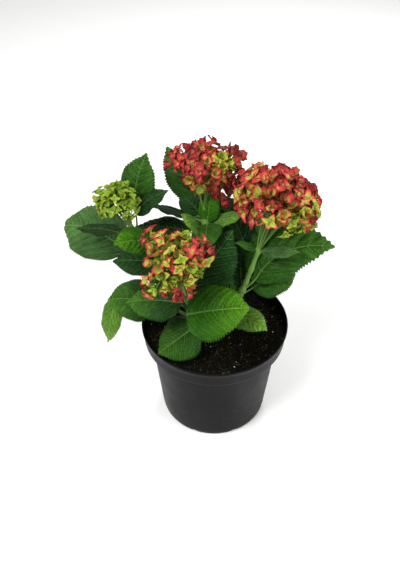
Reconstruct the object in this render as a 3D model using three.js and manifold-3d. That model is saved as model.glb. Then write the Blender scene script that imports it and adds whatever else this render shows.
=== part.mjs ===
// A young mophead hydrangea in a round nursery pot. Millimetres, +Z up.
// The origin is the middle of the pot's flat underside, and -Y is the side the low front cane leans to.
//
// The plant is a short woody collar in the soil, which forks into six canes. Four end in a flower head and
// two are leafy shoots. Each cane is bare at its foot, and above that it is the stem of a mass of leaves.
import * as THREE from "three";
import { mergeVertices } from "three/addons/utils/BufferGeometryUtils.js";
import Module from "manifold-3d";

const wasm = await Module();
wasm.setup();

// ---- driving sizes ----
const CLEARANCE = 0.3; // between pieces that touch on the real plant
const SLIVER = 0.02; // edges shorter than this are merged where pieces are fused

const POT = {
  height: 150, // a 19 cm, three-litre nursery pot
  rimRadius: 95,
  bandHeight: 23, // the stiffening collar under the rim
  bandTaper: 3, // how much narrower the collar is at its lower edge
  bandStep: 9, // ledge from the collar in to the body
  baseRadius: 70.5,
  baseEdge: 3, // chamfer round the foot
  wall: 1.7,
  floor: 2.4,
  segments: 36,
};
const NOTCH = { count: 8, width: 15, height: 4.5, depth: 10 }; // drain notches through the foot
const SOIL_TOP = 136;
const SOIL_CROWN = 1.5; // the compost stands a little higher in the middle

const COLLAR = { height: 16, flareRadius: 13, neckRadius: 8, flareHeight: 5, stubRadius: 4.2, stub: 0.13 };

const LEAF = {
  ring: 8, // faces round a blade's section
  along: 6, // steps from base to tip
  baseFullness: 0.45, // small: round at the base
  tipFullness: 0.8, // near 1: straight sides to a point
  fold: 0.36, // how far each half rises from the midrib
  curl: 0.46, // and bends down again at its edge
  thickness: 1 / 75, // of its length
};
const PETIOLE = { radius: 1.6, sides: 3, steps: 2, sink: 0.12 };

// A floret's star, as shares of a sepal's length: waist is its radius between two tips, and
// sunkHeel how deep a floret without a pedicel of its own reaches into the head.
const FLORET = { rim: 12, waist: 0.56, heart: 0.16, heel: 0.1, sunkHeel: 0.6 };
const FLOWER_STALK = { rays: 5, rayRadius: 1.3, pedicelRadius: 0.7, sides: 3 };
const GOLDEN_ANGLE = Math.PI * (3 - Math.sqrt(5));
const HEAD_SPREAD = 97; // degrees from a head's axis to its lowest florets

// A leaf: heading and rise give its chord (degrees; 0 is +X, 90 is +Y), arch how far it bends down from base
// to tip, roll its turn about the midrib (plus lifts its left edge), stalk and lean its petiole (length and
// rise), swing the petiole's own heading where it isn't the blade's, then the blade's length and breadth.
const CANES = {
  front: {
    foot: [-5, -5, 146],
    bend: [-27, -24, 160],
    top: [-35, -42, 243],
    radius: [3.6, 2.4],
    leafy: 0.22,
    leaves: [
      { at: 0.36, heading: -158, rise: -30, arch: 6, roll: -8, stalk: 19, lean: 26, swing: -108, blade: 60, breadth: 67 },
      { at: 0.68, heading: -9, rise: 17, arch: 14, roll: 25, stalk: 34, lean: 34, swing: -104, blade: 79, breadth: 74 },
      { at: 0.55, heading: 167, rise: -11, arch: 29, roll: -17, stalk: 27, lean: 54, swing: 179, blade: 76, breadth: 55 },
      { at: 0.77, heading: 42, rise: 40, arch: 4, roll: 7, stalk: 15, lean: 67, swing: 112, blade: 94, breadth: 72 },
    ],
  },
  left: {
    foot: [-7, 3, 149],
    bend: [-60, 1, 215],
    top: [-112, 24, 306],
    radius: [3.4, 2.2],
    leafy: 0.3,
    leaves: [
      { at: 0.34, heading: 112, rise: -6, arch: 40, roll: 0, stalk: 20, lean: -10, blade: 84, breadth: 62 },
      { at: 0.6, heading: 179, rise: 2, arch: 28, roll: -10, stalk: 12, lean: 48, swing: -108, blade: 54, breadth: 45 },
      { at: 0.72, heading: 160, rise: 14, arch: 70, roll: -24, stalk: 30, lean: -12, swing: 171, blade: 88, breadth: 72 },
      { at: 0.77, heading: -143, rise: 25, arch: 40, roll: -34, stalk: 20, lean: 28, swing: -38, blade: 62, breadth: 38 },
      { at: 0.9, heading: -161, rise: 20, arch: 30, roll: 54, stalk: 16, lean: -14, blade: 54, breadth: 40 },
      { at: 0.94, heading: 12, rise: 32, arch: 44, roll: 8, stalk: 15, lean: 50, blade: 50, breadth: 32 },
      { at: 0.83, heading: 50, rise: 69, arch: 54, roll: 3, stalk: 38, lean: 36, swing: 96, blade: 71, breadth: 54 },
    ],
  },
  top: {
    foot: [-2, 6, 146],
    bend: [-6, 18, 230],
    top: [-16, 50, 318],
    radius: [3.6, 2.4],
    leafy: 0.28,
    leaves: [
      { at: 0.4, heading: 150, rise: 16, arch: 40, roll: 0, stalk: 24, lean: 5, blade: 84, breadth: 62 },
      { at: 0.68, heading: 171, rise: 0, arch: 38, roll: 2, stalk: 21, lean: 14, blade: 70, breadth: 53 },
      { at: 0.79, heading: 162, rise: 8, arch: 26, roll: 28, stalk: 24, lean: 8, blade: 48, breadth: 40 },
      { at: 0.79, heading: 72, rise: 61, arch: 22, roll: 0, stalk: 5, lean: 45, swing: -60, blade: 40, breadth: 28 },
      { at: 0.77, heading: -12, rise: 26, arch: 30, roll: 14, stalk: 9, lean: 22, blade: 42, breadth: 23 },
      { at: 0.82, heading: 138, rise: 22, arch: 48, roll: -4, stalk: 10, lean: 8, blade: 36, breadth: 34 },
      { at: 0.75, heading: -170, rise: 50, arch: 16, roll: -8, stalk: 13, lean: 14, swing: -125, blade: 37, breadth: 29 },
      { at: 0.88, heading: 123, rise: 28, arch: 27, roll: 0, stalk: 24, lean: -9, swing: 110, blade: 84, breadth: 50 },
      { at: 0.8, heading: 62, rise: -24, arch: 50, roll: 0, stalk: 16, lean: -14, blade: 66, breadth: 50 },
    ],
  },
  right: {
    foot: [6, -1, 146],
    bend: [36, -6, 190],
    top: [58, 12, 290],
    radius: [3.8, 2.6],
    leafy: 0.2,
    leaves: [
      { at: 0.27, heading: -40, rise: 5, arch: 46, roll: 14, stalk: 15, lean: 14, swing: -90, blade: 56, breadth: 36 },
      { at: 0.43, heading: 21, rise: 4, arch: 66, roll: 4, stalk: 19, lean: 20, blade: 64, breadth: 56 },
      { at: 0.45, heading: 140, rise: 58, arch: 22, roll: -4, stalk: 5, lean: 50, blade: 29, breadth: 19 },
      { at: 0.5, heading: 0, rise: 30, arch: 98, roll: 62, stalk: 20, lean: 32, swing: 13, blade: 122, breadth: 62 },
      { at: 0.58, heading: 130, rise: 50, arch: 38, roll: 2, stalk: 31, lean: 30, swing: 82, blade: 94, breadth: 55 },
      { at: 0.7, heading: 66, rise: 8, arch: 50, roll: 0, stalk: 24, lean: 20, blade: 92, breadth: 66 },
      { at: 0.5, heading: 100, rise: 49, arch: 24, roll: -3, stalk: 5, lean: 48, blade: 72, breadth: 46 },
      { at: 0.84, heading: -29, rise: 20, arch: 3, roll: 19, stalk: 8, lean: 39, swing: -42, blade: 52, breadth: 20 },
      { at: 0.85, heading: -168, rise: 31, arch: 20, roll: -8, stalk: 4, lean: 34, blade: 30, breadth: 15 },
    ],
  },
  back: {
    foot: [2, 8, 146],
    bend: [8, 44, 176],
    top: [16, 70, 226],
    radius: [3.2, 1.8],
    leafy: 0.3,
    leaves: [
      { at: 0.45, heading: 160, rise: 2, arch: 40, roll: 0, stalk: 22, lean: 0, blade: 80, breadth: 60 },
      { at: 0.45, heading: 20, rise: 2, arch: 40, roll: 0, stalk: 22, lean: 20, blade: 84, breadth: 60 },
      { at: 0.75, heading: 95, rise: -5, arch: 60, roll: 0, stalk: 18, lean: 15, blade: 80, breadth: 58 },
      { at: 0.98, heading: 40, rise: 10, arch: 40, roll: 0, stalk: 10, lean: 30, blade: 60, breadth: 42 },
      { at: 0.98, heading: 135, rise: 10, arch: 40, roll: 0, stalk: 10, lean: 30, blade: 60, breadth: 42 },
    ],
  },
  low: {
    foot: [-9, -4, 144],
    bend: [-46, 4, 156],
    top: [-92, 21, 189],
    radius: [3, 1.8],
    leafy: 0.5,
    leaves: [
      { at: 0.76, heading: -177, rise: 6, arch: 30, roll: -23, stalk: 9, lean: 6, swing: -140, blade: 62, breadth: 60 },
      { at: 0.98, heading: -115, rise: -58, arch: 70, roll: 12, stalk: 39, lean: -24, swing: 180, blade: 66, breadth: 34 },
    ],
  },
};

// A flower head: a dome of florets on rays that leave the cane's top. lean is the dome's axis, reach its
// radius, depth its height, core how full it is inside (share of both), sepal a sepal's length, open how far
// sepals stand out from the stalk (degrees).
const HEADS = {
  front: { lean: [-0.19, -0.15, 1], rays: 50, reach: 33, depth: 21, core: 0, florets: 16, sepal: 16, open: 62, seed: 3, colour: "bronze" },
  left: { lean: [-0.24, -0.06, 1], rays: 18, reach: 22, depth: 17, core: 0.9, florets: 20, sepal: 11, open: 52, seed: 7, colour: "lime" },
  top: { lean: [0.09, 0.25, 1], rays: 32, reach: 35.5, depth: 21, core: 0.9, florets: 20, sepal: 18, open: 66, seed: 11, colour: "red" },
  right: { lean: [0.4, 0.08, 1], rays: 45, reach: 43, depth: 27, core: 0.9, florets: 27, sepal: 18, open: 66, seed: 19, colour: "red" },
};

const COLOURS = {
  pot: { color: 0x2b2b2d, roughness: 0.55 },
  soil: { color: 0x15100c, roughness: 1 },
  wood: { color: 0x6d5a3c, roughness: 0.85 },
  cane: { color: 0x5f8a35, roughness: 0.6 },
  leaf: { color: 0x1f5c1f, roughness: 0.45 },
  lime: { color: 0xa9c93a, roughness: 0.6 },
  bronze: { color: 0xb98a34, roughness: 0.6 },
  red: { color: 0xb01f2c, roughness: 0.55 },
};

// ---- small helpers ----
const radians = (degrees) => (degrees * Math.PI) / 180;
const vector = (xyz) => new THREE.Vector3(...xyz);
const UP = new THREE.Vector3(0, 0, 1);

// A number from 0 to 1 that is always the same for one seed and index.
function chance(seed, index) {
  const wave = Math.sin(seed * 127.1 + index * 311.7) * 43758.5453;
  return wave - Math.floor(wave);
}

// A unit vector from a heading and a rise, in degrees.
function direction(heading, rise) {
  const h = radians(heading);
  const r = radians(rise);
  return new THREE.Vector3(Math.cos(h) * Math.cos(r), Math.sin(h) * Math.cos(r), Math.sin(r));
}

// Three unit vectors, the first along the given one and the other two across it.
function across(along) {
  const forward = along.clone().normalize();
  const helper = Math.abs(forward.z) < 0.9 ? UP : new THREE.Vector3(1, 0, 0);
  const side = helper.clone().cross(forward).normalize();
  return [forward, side, forward.clone().cross(side)];
}

// The closed geometry as a solid that can be joined and cut.
function solid(geometry) {
  const bare = new THREE.BufferGeometry();
  bare.setAttribute("position", geometry.getAttribute("position"));
  if (geometry.index) bare.setIndex(geometry.index);
  const merged = mergeVertices(bare, 1e-3);
  return new wasm.Manifold(
    new wasm.Mesh({
      numProp: 3,
      vertProperties: merged.getAttribute("position").array,
      triVerts: new Uint32Array(merged.index.array),
    }),
  );
}

// All the geometries joined into one solid's geometry. Pockets that they shut in between them are filled.
function fused(geometries) {
  const whole = wasm.Manifold.union(geometries.map(solid)).simplify(SLIVER);
  const bodies = whole.decompose().filter((body) => body.volume() > 0);
  if (bodies.length !== 1) throw new Error(`${bodies.length} bodies where one is meant`);
  const mesh = bodies[0].getMesh();
  const geometry = new THREE.BufferGeometry();
  geometry.setAttribute("position", new THREE.BufferAttribute(mesh.vertProperties, 3));
  geometry.setIndex(new THREE.BufferAttribute(mesh.triVerts, 1));
  geometry.computeVertexNormals();
  return geometry;
}

function named(name, geometry, finish) {
  const material = new THREE.MeshStandardMaterial({ ...COLOURS[finish], metalness: 0 });
  const mesh = new THREE.Mesh(geometry, material);
  mesh.name = name;
  return mesh;
}

// ---- tapering limbs ----
// A cylinder bent along a curve, from one share of it to another, with a radius at each end.
function limb(curve, from, to, startRadius, endRadius, sides, steps) {
  const geometry = new THREE.CylinderGeometry(1, 1, 1, sides, steps);
  const place = geometry.getAttribute("position");
  for (let i = 0; i < place.count; i++) {
    const share = place.getY(i) + 0.5;
    const t = from + (to - from) * share;
    const radius = startRadius + (endRadius - startRadius) * share;
    const [, side, other] = across(curve.getTangent(t));
    const centre = curve.getPoint(t);
    centre.addScaledVector(side, place.getX(i) * radius);
    centre.addScaledVector(other, -place.getZ(i) * radius);
    place.setXYZ(i, centre.x, centre.y, centre.z);
  }
  return geometry;
}

function straightLimb(start, end, startRadius, endRadius, sides) {
  return limb(new THREE.LineCurve3(start, end), 0, 1, startRadius, endRadius, sides, 1);
}

const caneCurve = (cane) => new THREE.QuadraticBezierCurve3(vector(cane.foot), vector(cane.bend), vector(cane.top));

// The radius at a share of the cane's run.
const caneRadius = (cane, t) => cane.radius[0] + (cane.radius[1] - cane.radius[0]) * t;

// ---- leaves ----
// Half the blade's breadth at a share of its length, where 1 is its widest.
function outline(s) {
  const { baseFullness: a, tipFullness: b } = LEAF;
  const widest = a / (a + b);
  const most = widest ** a * (1 - widest) ** b;
  return (s ** a * (1 - s) ** b) / most;
}

// Where the blade's midrib is, and the directions along and across it, at a share of its length.
function midrib(leaf, base, s) {
  const steps = 12;
  const point = base.clone();
  for (let i = 0; i < steps; i++) {
    const pitch = leaf.rise + leaf.arch * (0.5 - (s * (i + 0.5)) / steps);
    point.addScaledVector(direction(leaf.heading, pitch), (leaf.blade * s) / steps);
  }
  const along = direction(leaf.heading, leaf.rise + leaf.arch * (0.5 - s));
  const level = UP.clone().cross(along).normalize();
  const left = level.applyAxisAngle(along, radians(leaf.roll));
  return { point, left, face: along.clone().cross(left) };
}

// A blade: a sphere pressed into the leaf's own outline, folded at the midrib and arched to its tip.
function blade(leaf, base) {
  const geometry = new THREE.SphereGeometry(1, LEAF.ring, LEAF.along);
  const place = geometry.getAttribute("position");
  for (let i = 0; i < place.count; i++) {
    const s = Math.acos(THREE.MathUtils.clamp(place.getY(i), -1, 1)) / Math.PI;
    const round = Math.max(Math.hypot(place.getX(i), place.getZ(i)), 1e-6);
    const q = place.getX(i) / round;
    const side = place.getZ(i) / round;
    const half = (leaf.breadth / 2) * outline(s);
    const { point, left, face } = midrib(leaf, base, s);
    const lift = half * (LEAF.fold * Math.abs(q) - LEAF.curl * q * q);
    const skin = side * Math.sin(Math.PI * s) ** 0.5 * leaf.blade * LEAF.thickness * 0.5;
    point.addScaledVector(left, q * half);
    point.addScaledVector(face, lift + skin);
    place.setXYZ(i, point.x, point.y, point.z);
  }
  return geometry;
}

// A leaf's two pieces: the blade, and the petiole that is sunk in it and in the stem.
function leafPieces(cane, leaf) {
  const start = caneCurve(cane).getPoint(leaf.at);
  const base = start.clone().addScaledVector(direction(leaf.swing ?? leaf.heading, leaf.lean), leaf.stalk);
  const sunk = midrib(leaf, base, PETIOLE.sink).point;
  const path = new THREE.QuadraticBezierCurve3(start, base, sunk);
  const petiole = limb(path, 0, 1, PETIOLE.radius, PETIOLE.radius * 0.8, PETIOLE.sides, PETIOLE.steps);
  return [petiole, blade(leaf, base)];
}

// ---- flower heads ----
// One floret: four pointed sepals as a single cup, a sphere pressed into a star whose rim stands open.
function floret(centre, normal, spin, length, open, heel) {
  const geometry = new THREE.SphereGeometry(1, FLORET.rim, 2);
  const place = geometry.getAttribute("position");
  const [, first, second] = across(normal);
  for (let i = 0; i < place.count; i++) {
    const y = place.getY(i);
    const point = centre.clone();
    if (Math.abs(y) > 0.5) {
      point.addScaledVector(normal, (y > 0 ? FLORET.heart : -heel) * length);
    } else {
      const angle = Math.atan2(-place.getZ(i), place.getX(i));
      const tip = Math.round((angle * FLORET.rim) / (2 * Math.PI)) % (FLORET.rim / 4) === 0;
      const reach = tip ? length : length * FLORET.waist;
      point.addScaledVector(first, Math.cos(angle + spin) * Math.sin(open) * reach);
      point.addScaledVector(second, Math.sin(angle + spin) * Math.sin(open) * reach);
      point.addScaledVector(normal, Math.cos(open) * reach);
    }
    place.setXYZ(i, point.x, point.y, point.z);
  }
  return geometry;
}

// The places and directions of a head's florets, spread over the dome by the golden angle.
function floretPlaces(cane, head) {
  const start = caneCurve(cane).getPoint(1);
  const [axis, side, other] = across(vector(head.lean));
  const middle = start.clone().addScaledVector(axis, head.rays);
  const places = [];
  for (let i = 0; i < head.florets; i++) {
    const share = (i + 0.5) / head.florets;
    const polar = radians(HEAD_SPREAD) * Math.sqrt(share);
    const turn = i * GOLDEN_ANGLE + chance(head.seed, i) * 0.5;
    const spread = side.clone().multiplyScalar(Math.cos(turn)).addScaledVector(other, Math.sin(turn));
    const reach = head.reach * (0.92 + 0.16 * chance(head.seed, i + 40));
    const point = middle.clone().addScaledVector(spread, reach * Math.sin(polar));
    point.addScaledVector(axis, head.depth * Math.cos(polar));
    const normal = spread.clone().multiplyScalar(Math.sin(polar) * 0.8).addScaledVector(axis, Math.cos(polar) * 0.8 + 0.35);
    places.push({ point, normal: normal.normalize(), spin: chance(head.seed, i + 80) * Math.PI, share, turn });
  }
  return { start, axis, side, other, middle, places };
}

function headPieces(cane, head) {
  const { start, axis, side, other, middle, places } = floretPlaces(cane, head);
  const tangent = caneCurve(cane).getTangent(1);
  const foot = start.clone().addScaledVector(tangent, CLEARANCE);
  const shoulder = start.clone().addScaledVector(tangent, head.rays * 0.15);
  const fork = start.clone().addScaledVector(axis, head.rays * 0.3);
  const { rayRadius, pedicelRadius, sides } = FLOWER_STALK;
  const stalk = new THREE.QuadraticBezierCurve3(foot, shoulder, fork.clone().addScaledVector(axis, 1));
  const pieces = [limb(stalk, 0, 1, cane.radius[1], rayRadius * 1.4, 6, 3)];
  const hubs = [middle.clone().addScaledVector(axis, -head.rays * 0.25)];
  for (let i = 0; i < FLOWER_STALK.rays; i++) {
    const turn = (i / FLOWER_STALK.rays) * 2 * Math.PI + head.seed;
    const spread = side.clone().multiplyScalar(Math.cos(turn)).addScaledVector(other, Math.sin(turn));
    hubs.push(middle.clone().addScaledVector(spread, head.reach * 0.5).addScaledVector(axis, -head.depth * 0.3));
  }
  const knot = new THREE.SphereGeometry(rayRadius * 1.9, 6, 4);
  pieces.push(knot.translate(fork.x, fork.y, fork.z));
  for (const hub of hubs) {
    const from = fork.clone().addScaledVector(hub.clone().sub(fork).normalize(), rayRadius * 0.9);
    pieces.push(straightLimb(from, hub, rayRadius, rayRadius * 0.8, sides));
  }
  if (head.core > 0) pieces.push(headCore(head, middle, axis));
  for (const { point, normal, spin } of places) {
    const heel = head.core > 0 ? FLORET.sunkHeel : FLORET.heel;
    pieces.push(floret(point, normal, spin, head.sepal, radians(head.open), heel));
    if (head.core > 0) continue;
    const hub = hubs.reduce((best, h) => (h.distanceTo(point) < best.distanceTo(point) ? h : best));
    const heart = point.clone().addScaledVector(normal, FLORET.heart * head.sepal * 0.3);
    pieces.push(straightLimb(hub, heart, pedicelRadius, pedicelRadius * 1.3, sides));
  }
  return pieces;
}

// The crowded inside of a full head: a dome with a shallow underside, a little smaller than the florets' own.
function headCore(head, middle, axis) {
  const dome = new THREE.SphereGeometry(1, 12, 6);
  dome.rotateX(Math.PI / 2);
  const place = dome.getAttribute("position");
  for (let i = 0; i < place.count; i++) {
    const z = place.getZ(i);
    place.setZ(i, z > 0 ? z * head.depth : z * head.depth * 0.45);
  }
  dome.scale(head.reach * head.core, head.reach * head.core, head.core);
  dome.applyQuaternion(new THREE.Quaternion().setFromUnitVectors(UP, axis));
  return dome.translate(middle.x, middle.y, middle.z);
}

// ---- pot, soil and collar ----
const bandFoot = POT.height - POT.bandHeight;
const bodyTopRadius = POT.rimRadius - POT.bandTaper - POT.bandStep;

// The inner wall's radius at a height, the same for the pot and for the soil that fills it.
function innerRadius(z) {
  const outer =
    z < bandFoot
      ? POT.baseRadius + ((bodyTopRadius - POT.baseRadius) * z) / bandFoot
      : POT.rimRadius - POT.bandTaper * (1 - (z - bandFoot) / POT.bandHeight);
  return outer - POT.wall;
}

function turned(points) {
  const geometry = new THREE.LatheGeometry(points.map(([r, z]) => new THREE.Vector2(r, z)), POT.segments);
  return geometry.rotateX(Math.PI / 2);
}

function potGeometry() {
  const { height, rimRadius, bandTaper, baseRadius, baseEdge, wall, floor } = POT;
  const shell = solid(
    turned([
      [0, 0],
      [baseRadius - baseEdge, 0],
      [baseRadius, baseEdge],
      [bodyTopRadius, bandFoot],
      [rimRadius - bandTaper, bandFoot],
      [rimRadius, height - 1],
      [rimRadius - 0.8, height],
      [innerRadius(height), height],
      [innerRadius(bandFoot + wall), bandFoot + wall],
      [bodyTopRadius - wall, bandFoot + wall],
      [innerRadius(floor + baseEdge), floor + baseEdge],
      [innerRadius(floor) - baseEdge, floor],
      [0, floor],
    ]),
  );
  let pot = shell;
  for (let i = 0; i < NOTCH.count; i++) {
    const turn = ((i + 0.5) / NOTCH.count) * 2 * Math.PI;
    const cutter = new THREE.CylinderGeometry(1, 1, NOTCH.depth, 8);
    cutter.rotateZ(Math.PI / 2);
    cutter.scale(1, NOTCH.width / 2, NOTCH.height);
    cutter.translate(baseRadius, 0, 0);
    cutter.rotateZ(turn);
    pot = pot.subtract(solid(cutter));
  }
  const mesh = pot.getMesh();
  const geometry = new THREE.BufferGeometry();
  geometry.setAttribute("position", new THREE.BufferAttribute(mesh.vertProperties, 3));
  geometry.setIndex(new THREE.BufferAttribute(mesh.triVerts, 1));
  return geometry;
}

function soilGeometry() {
  const { wall, floor, baseEdge } = POT;
  const low = floor + CLEARANCE;
  const ledge = bandFoot + wall + CLEARANCE;
  return turned([
    [0, low],
    [innerRadius(low) - baseEdge - CLEARANCE, low],
    [innerRadius(low + baseEdge) - CLEARANCE, low + baseEdge],
    [bodyTopRadius - wall - CLEARANCE, ledge],
    [innerRadius(ledge) - CLEARANCE, ledge],
    [innerRadius(SOIL_TOP) - CLEARANCE, SOIL_TOP],
    [innerRadius(SOIL_TOP) * 0.5, SOIL_TOP + SOIL_CROWN],
    [0, SOIL_TOP + SOIL_CROWN],
  ]);
}

// The woody collar: a flared foot that stands on the soil, with a stub towards each cane.
function collarPieces() {
  const foot = SOIL_TOP + SOIL_CROWN + CLEARANCE;
  const flare = new THREE.LatheGeometry(
    [
      [0, foot],
      [COLLAR.flareRadius, foot],
      [COLLAR.neckRadius, foot + COLLAR.flareHeight],
      [COLLAR.neckRadius * 0.8, foot + COLLAR.height * 0.75],
      [0, foot + COLLAR.height],
    ].map(([r, z]) => new THREE.Vector2(r, z)),
    10,
  ).rotateX(Math.PI / 2);
  const pieces = [flare];
  for (const cane of Object.values(CANES)) {
    const curve = caneCurve(cane);
    pieces.push(limb(curve, 0, COLLAR.stub, COLLAR.stubRadius, cane.radius[0] * 1.1, 6, 1));
  }
  return pieces;
}

// ---- the whole plant ----
const plant = new THREE.Group();
plant.add(named("pot", potGeometry(), "pot"));
plant.add(named("soil", soilGeometry(), "soil"));
plant.add(named("woody_collar", fused(collarPieces()), "wood"));

for (const [name, cane] of Object.entries(CANES)) {
  const curve = caneCurve(cane);
  const gap = CLEARANCE / curve.getLength();
  const bare = limb(
    curve,
    COLLAR.stub + gap,
    cane.leafy,
    cane.radius[0] * 1.1,
    caneRadius(cane, cane.leafy),
    7,
    4,
  );
  plant.add(named(`cane_${name}`, bare, "cane"));
  const stem = limb(curve, cane.leafy + gap, 1, caneRadius(cane, cane.leafy), cane.radius[1], 6, 5);
  const leaves = cane.leaves.flatMap((leaf) => leafPieces(cane, leaf));
  plant.add(named(`foliage_${name}`, fused([stem, ...leaves]), "leaf"));
}

for (const [name, head] of Object.entries(HEADS)) {
  plant.add(named(`bloom_${name}`, fused(headPieces(CANES[name], head)), head.colour));
}

export default plant;
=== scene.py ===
import math

import bpy
import numpy as np
from mathutils import Euler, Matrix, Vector


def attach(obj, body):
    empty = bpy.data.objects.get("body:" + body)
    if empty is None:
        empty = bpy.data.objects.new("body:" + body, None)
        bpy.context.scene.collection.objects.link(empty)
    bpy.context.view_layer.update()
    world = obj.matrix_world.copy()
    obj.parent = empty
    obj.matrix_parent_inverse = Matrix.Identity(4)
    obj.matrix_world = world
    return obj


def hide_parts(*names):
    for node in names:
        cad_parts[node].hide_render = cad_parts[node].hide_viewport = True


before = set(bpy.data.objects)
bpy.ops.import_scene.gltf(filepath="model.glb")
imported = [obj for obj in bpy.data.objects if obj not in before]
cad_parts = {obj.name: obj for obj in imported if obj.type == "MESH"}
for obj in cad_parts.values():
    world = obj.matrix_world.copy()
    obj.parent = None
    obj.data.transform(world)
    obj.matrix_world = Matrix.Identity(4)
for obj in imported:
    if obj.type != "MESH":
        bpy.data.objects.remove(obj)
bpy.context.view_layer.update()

# ---- floor, light and camera ----
# A plain white studio sweep under three soft boxes, seen by a camera that looks down on the plant at
# about 42 degrees.
FLOOR_REACH = 6


def finish(name, **constants):
    """A material, its node tree and its shader, with the shader's constants set."""
    material = bpy.data.materials.new(name)
    material.use_nodes = True
    tree = material.node_tree
    shader = tree.nodes["Principled BSDF"]
    for socket, value in constants.items():
        shader.inputs[socket.replace("_", " ")].default_value = value
    return material, tree, shader


def put(name, data):
    """A new object at the origin."""
    thing = bpy.data.objects.new(name, data)
    bpy.context.collection.objects.link(thing)
    return thing


def mesh_object(name, mesh, material):
    """A mesh on an object at the origin, smooth, with its one material."""
    mesh.materials.clear()
    mesh.materials.append(material)
    mesh.polygons.foreach_set("material_index", [0] * len(mesh.polygons))
    mesh.polygons.foreach_set("use_smooth", [True] * len(mesh.polygons))
    return put(name, mesh)


def softbox(name, place, aim, size, power):
    """A square soft light at a place, turned to its aim."""
    lamp = bpy.data.lights.new(name, "AREA")
    lamp.size = size
    lamp.energy = power
    light = put(name, lamp)
    light.location = place
    light.rotation_euler = (Vector(aim) - Vector(place)).to_track_quat("-Z", "Y").to_euler()


camera = put("camera", bpy.data.cameras.new("camera"))
camera.data.sensor_width = 36
camera.data.lens = 48.5
camera.location = (-0.01914, -0.7102, 0.8555)
camera.rotation_euler = (math.radians(47.8), 0, 0)
bpy.context.scene.camera = camera

world = bpy.data.worlds.new("studio")
world.use_nodes = True
sky = world.node_tree.nodes["Background"].inputs
sky["Color"].default_value = (1, 1, 1, 1)
sky["Strength"].default_value = 0.5
bpy.context.scene.world = world
bpy.context.scene.view_settings.view_transform = "Standard"
softbox("key", (-0.7, -0.6, 1.45), (0, 0, 0.2), 0.8, 24)
softbox("fill", (1.25, -0.6, 0.75), (0, 0, 0.2), 0.9, 14)
softbox("rim", (0.35, 1.1, 1.1), (0, 0, 0.25), 0.6, 10)

floor_finish = finish("white_sweep", Roughness=0.85, Base_Color=(0.93, 0.93, 0.92, 1))[0]
floor_corners = [(x * FLOOR_REACH, y * FLOOR_REACH, 0) for x, y in ((-1, -1), (1, -1), (1, 1), (-1, 1))]
floor_mesh = bpy.data.meshes.new("floor")
floor_mesh.from_pydata(floor_corners, [], [(0, 1, 2, 3)])
mesh_object("floor", floor_mesh, floor_finish)

# ---- the pot ----
# A three-litre nursery pot: thin black polypropylene, blown or injection moulded, with a stiffening
# collar under the rim, a chamfered foot and eight drain notches. Sizes in millimetres.
POT = {"height": 150, "rim": 95, "band": 23, "taper": 3, "step": 9, "foot": 70.5, "edge": 3, "wall": 1.7}
NOTCHES, NOTCH_SIZE = 8, (0.005, 0.0075, 0.0045)


def add_node(tree, kind, sockets=None, **settings):
    """A node with its settings made, and its sockets set or linked by name or number."""
    node = tree.nodes.new(kind)
    for key, value in settings.items():
        setattr(node, key, value)
    for socket, value in (sockets or {}).items():
        if isinstance(value, bpy.types.NodeSocket):
            tree.links.new(value, node.inputs[socket])
        else:
            node.inputs[socket].default_value = value
    return node


def result(tree, kind, sockets=None, **settings):
    """The first output of a new node."""
    return add_node(tree, kind, sockets, **settings).outputs[0]


def maths(tree, kind, *values, clamp=False):
    """The result of one maths node."""
    return result(tree, "ShaderNodeMath", dict(enumerate(values)), operation=kind, use_clamp=clamp)


def noise(tree, place, scale, detail, roughness=0.5):
    """Cloudy noise, from 0 to 1."""
    sockets = {"Vector": place, "Scale": scale, "Detail": detail, "Roughness": roughness}
    return add_node(tree, "ShaderNodeTexNoise", sockets).outputs["Fac"]


def remap(tree, value, low, high, to_low=0.0, to_high=1.0, kind="LINEAR"):
    """A value taken from one range to another, and held at its ends."""
    sockets = {0: value, 1: low, 2: high, 3: to_low, 4: to_high}
    return result(tree, "ShaderNodeMapRange", sockets, interpolation_type=kind)


def mix(tree, share, first, second):
    """Two colours mixed. Each is a socket or three numbers."""
    first, second = ((*c, 1) if isinstance(c, tuple) else c for c in (first, second))
    return result(tree, "ShaderNodeMixRGB", {0: share, 1: first, 2: second})


def bump(tree, height, strength, distance, normal=None, invert=False):
    """The normal of a relief, on top of another relief's where that is given."""
    sockets = {"Strength": strength, "Distance": distance, "Height": height}
    if normal is not None:
        sockets["Normal"] = normal
    return result(tree, "ShaderNodeBump", sockets, invert=invert)


def object_place(tree):
    return add_node(tree, "ShaderNodeTexCoord").outputs["Object"]


def drawn_out(tree, place, share):
    """A place with its height scaled, so that a pattern on it is drawn out or squeezed upright."""
    return result(tree, "ShaderNodeMapping", {"Vector": place, "Scale": (1, 1, share)})


def dress(tree, shader, colour, normal, roughness=None):
    """Links a surface's colour and relief, and its roughness where that varies."""
    tree.links.new(colour, shader.inputs["Base Color"])
    tree.links.new(normal, shader.inputs["Normal"])
    if roughness is not None:
        tree.links.new(roughness, shader.inputs["Roughness"])


def new_tree(name, *inputs):
    """A Geometry Nodes tree with a mesh in, a mesh out, and the named inputs and a finish between."""
    tree = bpy.data.node_groups.new(name, "GeometryNodeTree")
    tree.interface.new_socket("Mesh", in_out="INPUT", socket_type="NodeSocketGeometry")
    for label, kind, value in (*inputs, ("Finish", "Material", None)):
        socket = tree.interface.new_socket(label, in_out="INPUT", socket_type="NodeSocket" + kind)
        if value is not None:
            socket.default_value = value
    tree.interface.new_socket("Mesh", in_out="OUTPUT", socket_type="NodeSocketGeometry")
    return tree, tree.nodes.new("NodeGroupInput").outputs, tree.nodes.new("NodeGroupOutput").inputs


def placed(tree, shape, **sockets):
    """A shape turned or scaled."""
    return result(tree, "GeometryNodeTransform", {"Geometry": shape, **sockets})


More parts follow.
